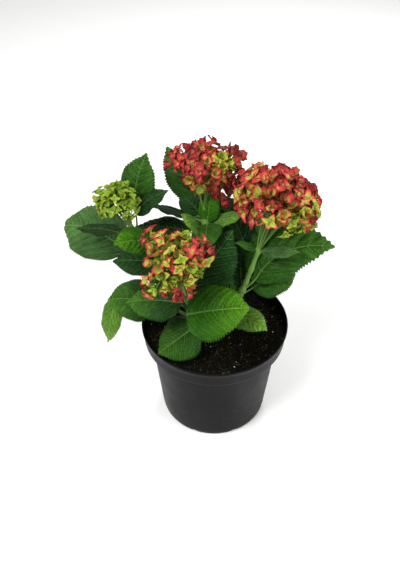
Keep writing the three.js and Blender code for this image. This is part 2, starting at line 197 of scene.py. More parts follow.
def close_tree(tree, shape, given, out):
    """The end of each tree: its copies made real, and the given finish on them."""
    whole = result(tree, "GeometryNodeRealizeInstances", {0: shape})
    painted = result(tree, "GeometryNodeSetMaterial", {"Geometry": whole, "Material": given["Finish"]})
    tree.links.new(painted, out["Mesh"])


def grown(name, mesh, tree, material, **settings):
    """The piece that a tree makes of a mesh with the named inputs set, as a plain mesh."""
    seed = put(name + "_seed", mesh)
    settings["Finish"] = material
    rule = seed.modifiers.new("rule", "NODES")
    rule.node_group = tree
    for item in tree.interface.items_tree:
        if item.in_out == "INPUT" and item.name in settings:
            rule[item.identifier] = settings[item.name]
    graph = bpy.context.evaluated_depsgraph_get()
    shape = bpy.data.meshes.new_from_object(
        seed.evaluated_get(graph), preserve_all_data_layers=True, depsgraph=graph
    )
    seed.modifiers.remove(rule)
    bpy.data.objects.remove(seed)
    return mesh_object(name, shape, material)


def lathe(name, profile, sides, waver=None):
    """A closed mesh turned about Z from points (radius, height) that start and end on the axis."""
    turns = np.arange(sides) * 2 * math.pi / sides
    corners = [(0, 0, profile[0][1] / 1000)]
    faces = []
    for radius, height in profile[1:-1]:
        ring = waver(radius, height, turns) if waver else np.full(sides, radius)
        corners += [
            (r * math.cos(t) / 1000, r * math.sin(t) / 1000, height / 1000) for r, t in zip(ring, turns)
        ]
    last = len(corners)
    corners.append((0, 0, profile[-1][1] / 1000))
    rings = len(profile) - 2
    for k in range(sides):
        n = (k + 1) % sides
        faces.append((0, 1 + n, 1 + k))
        faces.append((last, last - sides + k, last - sides + n))
        for r in range(rings - 1):
            low, high = 1 + r * sides, 1 + (r + 1) * sides
            faces.append((low + k, low + n, high + n, high + k))
    mesh = bpy.data.meshes.new(name)
    mesh.from_pydata(corners, [], faces)
    return mesh


band_foot = POT["height"] - POT["band"]
body_top = POT["rim"] - POT["taper"] - POT["step"]
wall = POT["wall"]


def outer_radius(height):
    """The pot's outside radius at a height."""
    if height < band_foot:
        return POT["foot"] + (body_top - POT["foot"]) * height / band_foot
    return POT["rim"] - POT["taper"] * (1 - (height - band_foot) / POT["band"])


def soft_wall(radius, height, turns):
    """Thin plastic is never quite round: a slow waver in the wall, none at the rim or the foot."""
    loose = math.sin(math.pi * min(height / band_foot, 1)) * 0.5 if height < band_foot else 0.15
    return radius + loose * (0.6 * np.sin(2 * turns + 0.7) + 0.4 * np.sin(3 * turns + 2.1 + height * 0.01))


chamfer = [(POT["foot"] - POT["edge"], 0), (POT["foot"] - 0.9, 1.2), (POT["foot"], POT["edge"])]
body = [(outer_radius(h), h) for h in (8, 14, 15, 16, 30, 50, 70, 90, 110, 120)]
ledge = [
    (82.6, 122.5), (83.2, 124.8), (84.8, 126.1), (90.2, band_foot - 0.5), (91.7, band_foot - 0.2),
    (92.1, band_foot + 0.5), (92.3, band_foot + 1.6),
]
band = [(92.6, 133), (93.9, 142), (94.4, 146.4), (95, 147.2), (95, 149.2)]
lip = [(94.6, 149.8), (94, 150), (93.4, 149.8), (93.1, 149)]
inside = [(outer_radius(h) - wall, h) for h in (145, 138, band_foot + wall)]
inside += [(body_top - wall, band_foot + wall - 0.6)]
inside += [(outer_radius(h) - wall, h) for h in (110, 70, 30, 5)]
pot_profile = [(0, 0)] + chamfer + body + ledge + band + lip + inside + [(60, 2.4), (0, 2.4)]
pot_mesh = lathe("pot", pot_profile, 160, soft_wall)

pot_finish, tree, shader = finish("black_polypropylene", Specular_IOR_Level=0.1)
place = object_place(tree)
streaked = drawn_out(tree, place, 3)
cloud = noise(tree, place, 22, 5, 0.6)
dusty = remap(tree, cloud, 0.42, 0.75)
scuffs = remap(tree, noise(tree, streaked, 60, 6), 0.56, 0.8)
dull = mix(tree, dusty, (0.0018, 0.0018, 0.002), (0.004, 0.0039, 0.0041))
worn = mix(tree, scuffs, dull, (0.011, 0.0108, 0.0108))
grit = bump(tree, noise(tree, place, 900, 3), 0.18, 0.0003)
flow = bump(tree, noise(tree, streaked, 14, 2), 0.15, 0.0015, grit)
dress(tree, shader, worn, flow, remap(tree, cloud, 0.3, 0.75, 0.36, 0.55))

tree, given, out = new_tree(
    "drain_notches", ("Count", "Int", 8), ("Radius", "Float", 0.07), ("Size", "Vector", None),
    ("Turn", "Float", 0.0),
)
circle = result(tree, "GeometryNodeMeshCircle", {"Vertices": given["Count"], "Radius": given["Radius"]})
twist = result(tree, "ShaderNodeCombineXYZ", {"Z": given["Turn"]})
cutter = result(tree, "GeometryNodeMeshCylinder", {"Vertices": 20, "Radius": 1.0, "Depth": 2.0})
lying = placed(tree, cutter, Rotation=(0, math.pi / 2, 0))
outward = result(tree, "GeometryNodeInputPosition")
facing = result(tree, "FunctionNodeAlignRotationToVector", {"Vector": outward}, axis="X", pivot_axis="Z")
row = result(tree, "GeometryNodeInstanceOnPoints", {
    "Points": placed(tree, circle, Rotation=twist), "Instance": placed(tree, lying, Scale=given["Size"]),
    "Rotation": facing,
})
cutters = result(tree, "GeometryNodeRealizeInstances", {0: row})
notched = result(
    tree, "GeometryNodeMeshBoolean", {"Mesh 1": given["Mesh"], "Mesh 2": cutters}, operation="DIFFERENCE"
)
close_tree(tree, notched, given, out)
pot = grown(
    "nursery_pot", pot_mesh, tree, pot_finish, Count=NOTCHES, Radius=POT["foot"] / 1000,
    Size=NOTCH_SIZE, Turn=math.pi / NOTCHES,
)
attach(pot, "root")
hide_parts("pot")

# ---- the compost ----
# Peat and fine bark filled to a finger below the rim: dark crumbs and chips lie loose on it, among them
# a few pale grains of perlite and feed.
SOIL_TOP, SOIL_CROWN, SOIL_RINGS = 136, 1.5, 60
WHOLE_TURN = 6.28
# Each kind of grain: its mesh, its stretch, the least and greatest turn, how pale it may be, its seed.
GRAINS = {
    "Crumbs": (
        "GeometryNodeMeshIcoSphere", {"Radius": 1.0, "Subdivisions": 1}, (1, 1, 0.8),
        (0, 0, 0), (WHOLE_TURN, WHOLE_TURN, WHOLE_TURN), 1.0, 3,
    ),
    "Chips": (
        "GeometryNodeMeshCube", {"Size": (1.4, 1.4, 1.4)}, (0.55, 0.7, 3.4),
        (1.2, 0, 0), (1.9, 0.3, WHOLE_TURN), 0.97, 8,
    ),
}


def attribute(tree, name, output="Fac"):
    return add_node(tree, "ShaderNodeAttribute", attribute_name=name).outputs[output]


def graded(tree, value, stops):
    """A colour read off stops (position, colour), of which the first is at 0 and the last at 1."""
    ramp = add_node(tree, "ShaderNodeValToRGB", {0: value})
    marks = ramp.color_ramp.elements
    marks[0].color, marks[1].color = (*stops[0][1], 1), (*stops[-1][1], 1)
    for position, colour in stops[1:-1]:
        marks.new(position).color = (*colour, 1)
    return ramp.outputs[0]


def dealt(tree, low, high, seed):
    """A number between two, dealt out by chance to each copy."""
    sockets = {2: low, 3: high, "Seed": seed}
    return add_node(tree, "FunctionNodeRandomValue", sockets, data_type="FLOAT").outputs[1]


soil_edge = outer_radius(SOIL_TOP) - wall - 0.3
profile = [(0, 118), (79.5, 118), (80.4, 128.4), (81.2, 129.6), (soil_edge - 1.2, 130.6)]
profile.append((soil_edge, SOIL_TOP - 0.6))
for k in range(SOIL_RINGS, 0, -1):
    share = k / (SOIL_RINGS + 0.5)
    rise = SOIL_CROWN * min(1, 2 * (1 - share))
    profile.append((soil_edge * share, SOIL_TOP + rise))
soil_mesh = lathe("compost", profile + [(0, SOIL_TOP + SOIL_CROWN)], 150)

soil_finish, tree, shader = finish("peat_and_bark", Roughness=0.95, Specular_IOR_Level=0.05)
place = object_place(tree)
grain = attribute(tree, "grain")
damp = noise(tree, place, 45, 6, 0.7)
ground = mix(tree, damp, (0.0025, 0.0022, 0.0016), (0.0055, 0.005, 0.0028))
strewn_colours = graded(tree, grain, [
    (0, (0.004, 0.003, 0.002)),
    (0.35, (0.004, 0.004, 0.0024)),
    (0.7, (0.011, 0.0105, 0.005)),
    (0.93, (0.026, 0.024, 0.0115)),
    (0.99, (0.09, 0.075, 0.035)),
    (0.9985, (0.3, 0.28, 0.23)),
    (1, (0.75, 0.73, 0.68)),
])
mixed = mix(tree, maths(tree, "GREATER_THAN", grain, 0.01), ground, strewn_colours)
dress(tree, shader, mixed, bump(tree, noise(tree, place, 700, 4, 0.7), 0.7, 0.001))

tree, given, out = new_tree(
    "loose_compost", ("Crumbs", "Float", 1.0), ("Chips", "Float", 1.0), ("Relief", "Float", 0.0015),
    ("Crumb Size", "Float", 0.001),
)
place = result(tree, "GeometryNodeInputPosition")
normal = result(tree, "GeometryNodeInputNormal")
upright = add_node(tree, "ShaderNodeSeparateXYZ", {0: normal}).outputs["Z"]
top = result(tree, "FunctionNodeCompare", {0: upright, 1: 0.7}, operation="GREATER_THAN")
lumps = maths(tree, "SUBTRACT", noise(tree, place, 210, 4, 0.65), 0.5)
height = maths(tree, "MULTIPLY", maths(tree, "MULTIPLY", lumps, given["Relief"]), 3.5)
lift = result(tree, "ShaderNodeCombineXYZ", {"Z": height})
tilled = result(
    tree, "GeometryNodeSetPosition", {"Geometry": given["Mesh"], "Selection": top, "Offset": lift}
)
made = [tilled]
for label, (kind, sizes, stretch, least, most, palest, seed) in GRAINS.items():
    points = result(tree, "GeometryNodeDistributePointsOnFaces", {
        "Mesh": tilled, "Selection": top, "Density": given[label], "Seed": seed,
    })
    turn = result(
        tree, "FunctionNodeRandomValue", {"Min": least, "Max": most, "Seed": seed + 1},
        data_type="FLOAT_VECTOR",
    )
    strewn = result(tree, "GeometryNodeInstanceOnPoints", {
        "Points": points, "Instance": placed(tree, result(tree, kind, sizes), Scale=stretch),
        "Rotation": result(tree, "FunctionNodeEulerToRotation", {0: turn}),
        "Scale": maths(tree, "MULTIPLY", dealt(tree, 0.45, 1.5, seed + 2), given["Crumb Size"]),
    })
    made.append(result(
        tree, "GeometryNodeStoreNamedAttribute",
        {"Geometry": strewn, "Name": "grain", "Value": dealt(tree, 0.02, palest, seed + 3)},
        data_type="FLOAT", domain="INSTANCE",
    ))
heap = add_node(tree, "GeometryNodeJoinGeometry")
for socket in made:
    tree.links.new(socket, heap.inputs[0])
close_tree(tree, heap.outputs[0], given, out)
compost = grown(
    "compost", soil_mesh, tree, soil_finish, Crumbs=180000.0, Chips=16000.0, Relief=0.0012,
    **{"Crumb Size": 0.0011},
)
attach(compost, "root")
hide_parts("soil")

# ---- the canes ----
# Six green canes fork from a short collar of brown, cracked bark in the compost. They have warts, and a
# swelling at each pair of leaves. Four end in a flower head, and two are leafy shoots.

# A cane: its foot, bend and top, its radius at the foot and the top, the share of it that is bare, and
# its leaves. A leaf: where on the cane, its heading and rise, how far it arches, its roll, the petiole's
# length, rise and heading, the blade's length and breadth, its green, and how straight its sides run to
# the tip where that isn't TIP.
CANES = {
    "front": ((-5, -5, 146), (-27, -24, 160), (-35, -42, 243), (3.6, 2.4), 0.22, [
        (0.36, -158, -30, 6, -8, 19, 26, -108, 60, 67, "mid"),
        (0.68, -9, 17, 14, 25, 34, 34, -104, 79, 74, "fresh"),
        (0.55, 167, -11, 29, -17, 27, 54, 179, 76, 55, "gloss"),
        (0.77, 42, 40, 4, 7, 15, 67, 112, 94, 72, "deep_and_shaded"),
        # A small leaf in the deepest green, a dark sheet of painted shade over the front cane.
        (0.66, 102, 50, 20, 0, 12, 10, -70, 44, 27, "deep_and_shaded"),
    ]),
    "left": ((-7, 3, 149), (-60, 1, 215), (-112, 24, 306), (3.4, 2.2), 0.3, [
        (0.34, 112, -6, 40, 0, 20, -10, 112, 84, 62, "mid"),
        (0.6, 179, 2, 28, -10, 12, 48, -108, 54, 45, "deep_and_shaded"),
        (0.72, 160, 14, 70, -24, 30, -12, 171, 88, 72, "grey_and_sheen", 0.42),
        (0.77, -143, 25, 40, -34, 20, 28, -38, 62, 38, "fresh"),
        (0.9, -161, 20, 30, 54, 16, -14, -161, 54, 40, "deep_and_shaded"),
        (0.94, 12, 32, 44, 8, 15, 50, 12, 50, 32, "deep_and_shaded"),
        (0.83, 50, 69, 54, 3, 38, 36, 96, 71, 54, "mid"),
    ]),
    "top": ((-2, 6, 146), (-6, 18, 230), (-16, 50, 318), (3.6, 2.4), 0.28, [
        (0.4, 150, 16, 40, 0, 24, 5, 150, 84, 62, "deep_and_shaded"),
        (0.68, 171, 0, 38, 2, 21, 14, 171, 70, 53, "deep_and_shaded"),
        (0.79, 162, 8, 26, 28, 24, 8, 162, 48, 40, "deep_and_shaded"),
        (0.79, 72, 61, 22, 0, 5, 45, -60, 40, 28, "fresh"),
        (0.77, -12, 26, 30, 14, 9, 22, -12, 42, 23, "pale"),
        (0.82, 138, 22, 48, -4, 10, 8, 138, 36, 34, "deep_and_shaded"),
        (0.75, -170, 50, 16, -8, 13, 14, -125, 37, 29, "pale"),
        (0.88, 123, 28, 27, 0, 24, -9, 110, 84, 50, "mid"),
        (0.8, 62, -24, 50, 0, 16, -14, 62, 66, 50, "mid"),
        (0.76, -96, -18, 40, 20, 11, 53, -81, 37, 40, "mid"),
    ]),
    "right": ((6, -1, 146), (36, -6, 190), (58, 12, 290), (3.8, 2.6), 0.2, [
        (0.27, -40, 5, 46, 14, 15, 14, -90, 56, 36, "pale"),
        (0.43, 21, 4, 66, 4, 19, 20, 21, 64, 56, "mid"),
        (0.45, 140, 58, 22, -4, 5, 50, 140, 29, 19, "mid"),
        (0.5, 0, 30, 98, 62, 20, 32, 13, 122, 62, "mid"),
        (0.58, 130, 50, 38, 2, 31, 30, 82, 94, 55, "deep_and_shaded"),
        (0.7, 66, 8, 50, 0, 24, 20, 66, 92, 66, "mid"),
        (0.5, 100, 49, 24, -3, 5, 48, 100, 72, 46, "deep_and_shaded"),
        (0.84, -29, 20, 3, 19, 8, 39, -42, 52, 20, "grey_and_sheen"),
        (0.85, -168, 31, 20, -8, 4, 34, -168, 30, 15, "mid"),
    ]),
    "back": ((2, 8, 146), (8, 44, 176), (16, 70, 226), (3.2, 1.8), 0.3, [
        (0.45, 160, 2, 40, 0, 22, 0, 160, 80, 60, "mid"),
        (0.45, 20, 2, 40, 0, 22, 20, 20, 84, 60, "mid"),
        (0.75, 95, -5, 60, 0, 18, 15, 95, 80, 58, "deep_and_shaded"),
        (0.98, 40, 10, 40, 0, 10, 30, 40, 60, 42, "fresh"),
        (0.98, 135, 10, 40, 0, 10, 30, 135, 60, 42, "fresh"),
    ]),
    "low": ((-9, -4, 144), (-46, 4, 156), (-92, 21, 189), (3, 1.8), 0.5, [
        (0.76, -177, 6, 30, -23, 9, 6, -140, 62, 60, "gloss"),
        (0.98, -115, -58, 70, 12, 39, -24, 180, 66, 34, "pale"),
    ]),
}


def bow(start, bend, end, run):
    """Points on the curve that leaves the start, and reaches the end, along its lines to the bend."""
    return [start * (1 - t) ** 2 + bend * 2 * t * (1 - t) + end * t * t for t in run]


def cane_point(cane, t):
    """A cane's middle line at a share of its run, in millimetres."""
    foot, bend, top = (np.array(p, float) for p in cane[:3])
    return bow(foot, bend, top, [t])[0]


def cane_tangent(cane, t):
    foot, bend, top = (np.array(p, float) for p in cane[:3])
    way = (bend - foot) * (1 - t) + (top - bend) * t
    return way / np.linalg.norm(way)


def cane_radii(cane, shares):
    """A cane's radii at shares of its run. It is thicker at each node, where petioles leave it."""
    first, last = cane[3]
    radii = []
    for t in shares:
        swelling = sum(0.32 * math.exp(-(((t - row[0]) / 0.022) ** 2)) for row in cane[5])
        radii.append((first + (last - first) * t) * (1 + swelling))
    return radii


def carry(mesh, **values):
    """Numbers that a mesh carries at its points, by name."""
    for label, numbers in values.items():
        mesh.attributes.new(label, "FLOAT", "POINT").data.foreach_set("value", numbers)


def strands_mesh(strands):
    """Middle lines as a mesh of bare edges. A strand is its points, its radii and its age at each."""
    points, edges, thick, age = [], [], [], []
    for line, radii, years in strands:
        first = len(points)
        points += [tuple(np.array(p) / 1000) for p in line]
        thick += [r / 1000 for r in radii]
        age += list(years)
        edges += [(first + k, first + k + 1) for k in range(len(line) - 1)]
    mesh = bpy.data.meshes.new("strands")
    mesh.from_pydata(points, edges, [])
    carry(mesh, thick=thick, age=age)
    return mesh


def stored(tree, label, kind):
    """A named value that a mesh carries into a tree."""
    return result(tree, "GeometryNodeInputNamedAttribute", {"Name": label}, data_type=kind)


limb_tree, given, out = new_tree(
    "limbs", ("Sides", "Int", 12), ("Relief", "Float", 0.0002), ("Grain", "Float", 300.0)
)
lines = result(limb_tree, "GeometryNodeMeshToCurve", {0: given["Mesh"]})
ring = result(limb_tree, "GeometryNodeCurvePrimitiveCircle", {"Resolution": given["Sides"], "Radius": 1.0})
tubes = result(limb_tree, "GeometryNodeCurveToMesh", {
    "Curve": lines, "Profile Curve": ring, "Scale": stored(limb_tree, "thick", "FLOAT"), "Fill Caps": True,
})
place = result(limb_tree, "GeometryNodeInputPosition")
drawn = result(limb_tree, "ShaderNodeVectorMath", {0: place, 1: (1, 1, 0.25)}, operation="MULTIPLY")
bark = maths(limb_tree, "SUBTRACT", noise(limb_tree, drawn, given["Grain"], 3), 0.5)
height = maths(limb_tree, "MULTIPLY", bark, given["Relief"])
normal = result(limb_tree, "GeometryNodeInputNormal")
push = result(limb_tree, "ShaderNodeVectorMath", {0: normal, "Scale": height}, operation="SCALE")
barked = result(limb_tree, "GeometryNodeSetPosition", {"Geometry": tubes, "Offset": push})
close_tree(limb_tree, barked, given, out)


def bark_finish(name, young, old, speck, roughness):
    """Bark that goes from a young colour to an old one with age, with fibres and lenticels."""
    material, tree, shader = finish(name, Roughness=roughness, Specular_IOR_Level=0.4)
    place = object_place(tree)
    blotch = maths(tree, "SUBTRACT", noise(tree, place, 120, 5), 0.5)
    ground = mix(tree, maths(tree, "ADD", blotch, attribute(tree, "age"), clamp=True), young, old)
    dots = add_node(tree, "ShaderNodeTexVoronoi", {"Vector": drawn_out(tree, place, 0.4), "Scale": 420})
    lenticel = remap(tree, dots.outputs["Distance"], 0.16, 0.3, 0.75, 0.0)
    fibre = bump(tree, noise(tree, drawn_out(tree, place, 0.15), 900, 4), 0.5, 0.0006)
    dress(tree, shader, mix(tree, lenticel, ground, speck), bump(tree, lenticel, 0.4, 0.0004, fibre))
    return material


ROOT_FLARE = [(133, 13.5), (137, 12.6), (139, 10.6), (143, 8.2), (147, 7.4), (151, 5.2), (152.6, 1.5)]
STUB_RADIUS, STUB_END, STUB_POINTS = 4.6, 0.13, 9
wood_finish = bark_finish("old_bark", (0.16, 0.12, 0.06), (0.12, 0.075, 0.04), (0.3, 0.24, 0.16), 0.85)
trunk = [(0, 0, height) for height, radius in ROOT_FLARE]
collar_strands = [(trunk, [radius for height, radius in ROOT_FLARE], [1] * len(ROOT_FLARE))]
for cane in CANES.values():
    line = [cane_point(cane, t) for t in np.linspace(0, STUB_END, STUB_POINTS)]
    run = [k / (STUB_POINTS - 1) for k in range(STUB_POINTS)]
    gain = cane[3][0] * 1.1 - STUB_RADIUS
    radii = [STUB_RADIUS + gain * t + 0.25 * math.sin(k * 2.3) for k, t in enumerate(run)]
    collar_strands.append((line, radii, [1 - 0.3 * t for t in run]))
collar = grown(
    "woody_collar_bark", strands_mesh(collar_strands), limb_tree, wood_finish, Sides=22,
    Relief=0.0016, Grain=260.0,
)
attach(collar, "root")
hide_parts("woody_collar")

cane_finish = bark_finish("young_bark", (0.1, 0.2, 0.025), (0.12, 0.13, 0.045), (0.16, 0.12, 0.06), 0.5)
for name, cane in CANES.items():
    shares = np.linspace(0.12, cane[4] + 0.01, 26)
    line = [cane_point(cane, t) for t in shares]
    strand = (line, cane_radii(cane, shares), 0.75 - 0.75 * (shares - 0.12) / 0.5)
    bare = grown(
        "cane_bark_" + name, strands_mesh([strand]), limb_tree, cane_finish, Sides=18,
        Relief=0.0006, Grain=420.0,
    )
    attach(bare, "root")
    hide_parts("cane_" + name)

# ---- the leaves ----
# Opposite pairs of broad, quilted leaves with toothed edges, on grooved petioles. Side veins leave a pale
# midrib at about 45 degrees and bend on to the tip. Each blade is a thin closed shell.
# A leaf's green at its base and at its tip, darker at the base. Each green is part tone and part painted
# light: the deepest is dark green with painted shade for leaves that lie under the flower heads, and the
# grey one is green made paler by a painted sheen.
GREENS = {
    "deep_and_shaded": ((0.006, 0.03, 0.005), (0.011, 0.05, 0.007)),
    "gloss": ((0.011, 0.045, 0.006), (0.04, 0.13, 0.01)),
    "mid": ((0.018, 0.072, 0.006), (0.036, 0.122, 0.009)),
    "fresh": ((0.017, 0.086, 0.002), (0.06, 0.19, 0.005)),
    "pale": ((0.08, 0.2, 0.022), (0.145, 0.31, 0.034)),
    "grey_and_sheen": ((0.036, 0.095, 0.024), (0.065, 0.155, 0.033)),
}
ROWS, COLUMNS = 72, 28
VEINS, VEIN_SLANT, VEIN_BEND = 7, 0.16, 0.31
SHOULDER, TIP = 0.45, 0.8
TYPICAL_BLADE = 85
TOOTH_ROWS, TOOTH_DEPTH = 3, 2.6
QUILT, QUILT_SINK, GUTTER = 2.6, 1.1, 0.6
SHELL, KEEL = 0.35, 1.1


def step(low, high, x):
    """0 below low, 1 above high, smooth between."""
    t = np.clip((x - low) / (high - low), 0, 1)
    return t * t * (3 - 2 * t)


def chance(seed, index):
    """A number from 0 to 1 that is always the same for one seed and index."""
    wave = math.sin(seed * 127.1 + index * 311.7) * 43758.5453
    return wave - math.floor(wave)


def direction(heading, rise):
    h, r = np.radians(heading), np.radians(rise)
    return np.stack([np.cos(h) * np.cos(r), np.sin(h) * np.cos(r), np.sin(r) + 0 * h], -1)


def swung(first, second, angle):
    """A direction swung by an angle from the first towards the second."""
    return first * math.cos(angle) + second * math.sin(angle)


def midrib(row, base, s):
    """Points of the midrib and the directions along, across and out of the blade, at shares of it."""
    heading, rise, arch, roll, blade = row[1], row[2], row[3], row[4], row[8]
    s = np.atleast_1d(s)
    mids = (np.arange(12) + 0.5) / 12
    pitch = rise + arch * (0.5 - s[:, None] * mids[None, :])
    point = base + direction(heading, pitch).sum(1) * (blade * s / 12)[:, None]
    along = direction(heading, rise + arch * (0.5 - s))
    level = np.cross([0, 0, 1], along)
    level /= np.linalg.norm(level, axis=1)[:, None]
    up = np.cross(along, level)
    left = swung(level, up, math.radians(roll))
    return point, along, left, np.cross(along, left)


def leaf_base(cane, row):
    return cane_point(cane, row[0]) + direction(row[7], row[6]) * row[5]


def two_sided(upper, lower, first):
    """The corners of a closed shell, whose two sides share their rim, and the numbers on each side."""
    number = first + np.arange(upper.shape[0] * upper.shape[1]).reshape(upper.shape[:2])
    inner = (upper.shape[0] - 2) * (upper.shape[1] - 2)
    under = number.copy()
    under[1:-1, 1:-1] = first + number.size + np.arange(inner).reshape(upper.shape[0] - 2, -1)
    sides = [upper.reshape(-1, upper.shape[2]), lower[1:-1, 1:-1].reshape(-1, upper.shape[2])]
    return np.concatenate(sides), number, under


def leaf_shell(row, base, seed, tile, tiles):
    """One blade: corners, faces, its own map, its place in the shared map, its green and its edge."""
    blade, breadth = row[8], row[9]
    size = blade / TYPICAL_BLADE
    ranks = np.arange(ROWS + 1)
    s = np.clip((ranks / ROWS) ** 1.2, 0.004, 0.998)
    tooth = (ranks % TOOTH_ROWS) / (TOOTH_ROWS - 1)
    bite = step(0.05, 0.16, s) * (1 - step(0.95, 1, s))
    tip = row[11] if len(row) > 11 else TIP
    widest = (SHOULDER / (SHOULDER + tip)) ** SHOULDER * (tip / (SHOULDER + tip)) ** tip
    outline = s ** SHOULDER * (1 - s) ** tip / widest
    half = breadth / 2 * outline * (1 - 0.34 * step(0.78, 0.97, s))
    teeth = (tooth - 0.4) * bite * TOOTH_DEPTH * size ** 0.5
    q = np.linspace(-1, 1, COLUMNS + 1)[None, :]
    point, along, left, face = midrib(row, base, s)
    x = q * half[:, None]
    w = x / (breadth / 2)
    x = x + np.sign(q) * abs(q) ** 8 * teeth[:, None]
    shares = s[:, None] + 0 * q
    beside = step(0.02, 0.16, abs(w))
    phase = (shares - VEIN_SLANT * abs(w) - VEIN_BEND * w * w) * VEINS
    puff = abs(np.sin(math.pi * phase)) ** 0.7 * beside * (1 - abs(q) ** 6)
    lift = half[:, None] * (0.36 * abs(q) - 0.46 * q * q)
    wave = np.sin(shares * 14 + 6 * chance(seed, 1) + 2.2 * np.sign(q)) * 1.5
    wave = wave + np.sin(shares * 31 + seed) * 0.5
    lift = lift + wave * abs(q) ** 3 * size * step(0, 0.2, shares)
    lift = lift + (puff * QUILT - QUILT_SINK * beside * step(0, 0.12, shares)) * size
    lift = lift - GUTTER * size * np.exp(-((x / 1.3) ** 2))
    upper = point[:, None] + left[:, None] * x[..., None] + face[:, None] * lift[..., None]
    keel = KEEL * np.exp(-((x / 1.4) ** 2)) * (1 - shares) ** 0.5 + 0.3 * (1 - puff)
    lower = upper - face[:, None] * ((SHELL + keel * size) * (1 - abs(q) ** 8))[..., None]
    corners, number, under = two_sided(upper, lower, 0)

    def quads(grid, flip):
        a, b, c, d = grid[:-1, :-1], grid[1:, :-1], grid[1:, 1:], grid[:-1, 1:]
        order = (a, d, c, b) if flip else (a, b, c, d)
        return np.stack([o.reshape(-1, *o.shape[2:]) for o in order], 1)

    own = np.stack([0.5 + 0.5 * w, shares], -1)
    faces = np.concatenate([quads(number, False), quads(under, True)])
    own_map = np.concatenate([quads(own, False), quads(own, True)])
    spread = np.stack([0.5 + 0.46 * w * 0.98, 0.03 + 0.94 * shares], -1)
    shared = []
    for k, flip in ((0, False), (1, True)):
        spot = np.array([(2 * tile + k) % tiles, (2 * tile + k) // tiles])
        shared.append(quads((spread + spot) / tiles, flip))
    low, high = (np.array(c) for c in GREENS[row[10]])
    fresh = 0.85 + 0.3 * chance(seed, 2)
    mixing = step(0.25, 1.0, shares)[..., None]
    tint = (low * (1 - mixing) + high * mixing) * fresh
    underside = tint * 0.8 + np.array([0.025, 0.045, 0.014])
    edge = abs(q) + 0 * shares
    tints, edges = two_sided(tint, underside, 0)[0], two_sided(edge[..., None], edge[..., None], 0)[0]
    return corners, faces, own_map, np.concatenate(shared), tints, edges.reshape(-1)


leaf_finish, tree, shader = finish("leaf_blade", Specular_IOR_Level=0.08)
place = object_place(tree)
tint = attribute(tree, "tint", "Color")
own = result(tree, "ShaderNodeUVMap", uv_map="blade")
split = add_node(tree, "ShaderNodeSeparateXYZ", {0: own})
side = maths(tree, "ABSOLUTE", maths(tree, "MULTIPLY_ADD", split.outputs["X"], 2.0, -1.0))
bent = maths(tree, "MULTIPLY_ADD", maths(tree, "MULTIPLY", side, side), -VEIN_BEND, split.outputs["Y"])
slanted = maths(tree, "MULTIPLY_ADD", side, -VEIN_SLANT, bent)
phase = maths(tree, "ADD", maths(tree, "MULTIPLY", slanted, float(VEINS)), 20.5)
near = maths(tree, "ABSOLUTE", maths(tree, "SUBTRACT", maths(tree, "FRACT", phase), 0.5))
vein = remap(tree, near, 0.025, 0.095, 1.0, 0.0, "SMOOTHSTEP")
veins = maths(tree, "MULTIPLY", vein, remap(tree, side, 0.1, 0.95, 1.0, 0.5))
taper = maths(tree, "MULTIPLY_ADD", split.outputs["Y"], 1.2, 0.5)
middle = remap(tree, maths(tree, "MULTIPLY", side, taper), 0.014, 0.034, 1.0, 0.0, "SMOOTHSTEP")
lines = maths(tree, "MAXIMUM", maths(tree, "MULTIPLY", veins, 0.72), middle)
drawn = maths(tree, "MAXIMUM", lines, remap(tree, attribute(tree, "edge"), 0.95, 1.0, 0.0, 0.14))

mottle = noise(tree, place, 85, 5, 0.6)
patch = remap(tree, mottle, 0.3, 0.7, 0.62, 1.38)
speckle = remap(tree, noise(tree, place, 420, 3, 0.6), 0.32, 0.68, 0.7, 1.3)
# Painted shade in the creases beside each vein and painted light on the puffs between them, over the
# leaf's own mottle.
crease_shade = remap(tree, near, 0.06, 0.3, 0.62, 1.12)
mottle_and_crease_shade = maths(tree, "MULTIPLY", maths(tree, "MULTIPLY", patch, speckle), crease_shade)
blade_green = result(tree, "ShaderNodeVectorMath", {0: tint, "Scale": mottle_and_crease_shade}, operation="SCALE")


def lighter(tree, tint, factor, offset):
    """A colour times one and plus another."""
    return result(tree, "ShaderNodeVectorMath", {0: tint, 1: factor, 2: offset}, operation="MULTIPLY_ADD")


net = add_node(tree, "ShaderNodeTexVoronoi", {"Vector": place, "Scale": 330}, feature="DISTANCE_TO_EDGE")
small_veins = remap(tree, net.outputs["Distance"], 0.0, 0.12, 1.0, 0.0)
net_green = lighter(tree, tint, (2.4, 2.1, 2.4), (0.008, 0.016, 0.003))
vein_green = lighter(tree, tint, (1.9, 1.5, 1.9), (0.075, 0.12, 0.045))
netted = mix(tree, maths(tree, "MULTIPLY", small_veins, 0.3), blade_green, net_green)
veined = mix(tree, maths(tree, "MULTIPLY", drawn, 0.84), netted, vein_green)
pores = bump(tree, noise(tree, place, 1400, 2), 0.15, 0.0003)
cells = bump(tree, small_veins, 0.75, 0.0015, pores, invert=True)
sunk_veins = bump(tree, lines, 0.5, 0.0009, cells, invert=True)
dress(tree, shader, veined, sunk_veins, remap(tree, mottle, 0.3, 0.7, 0.36, 0.52))

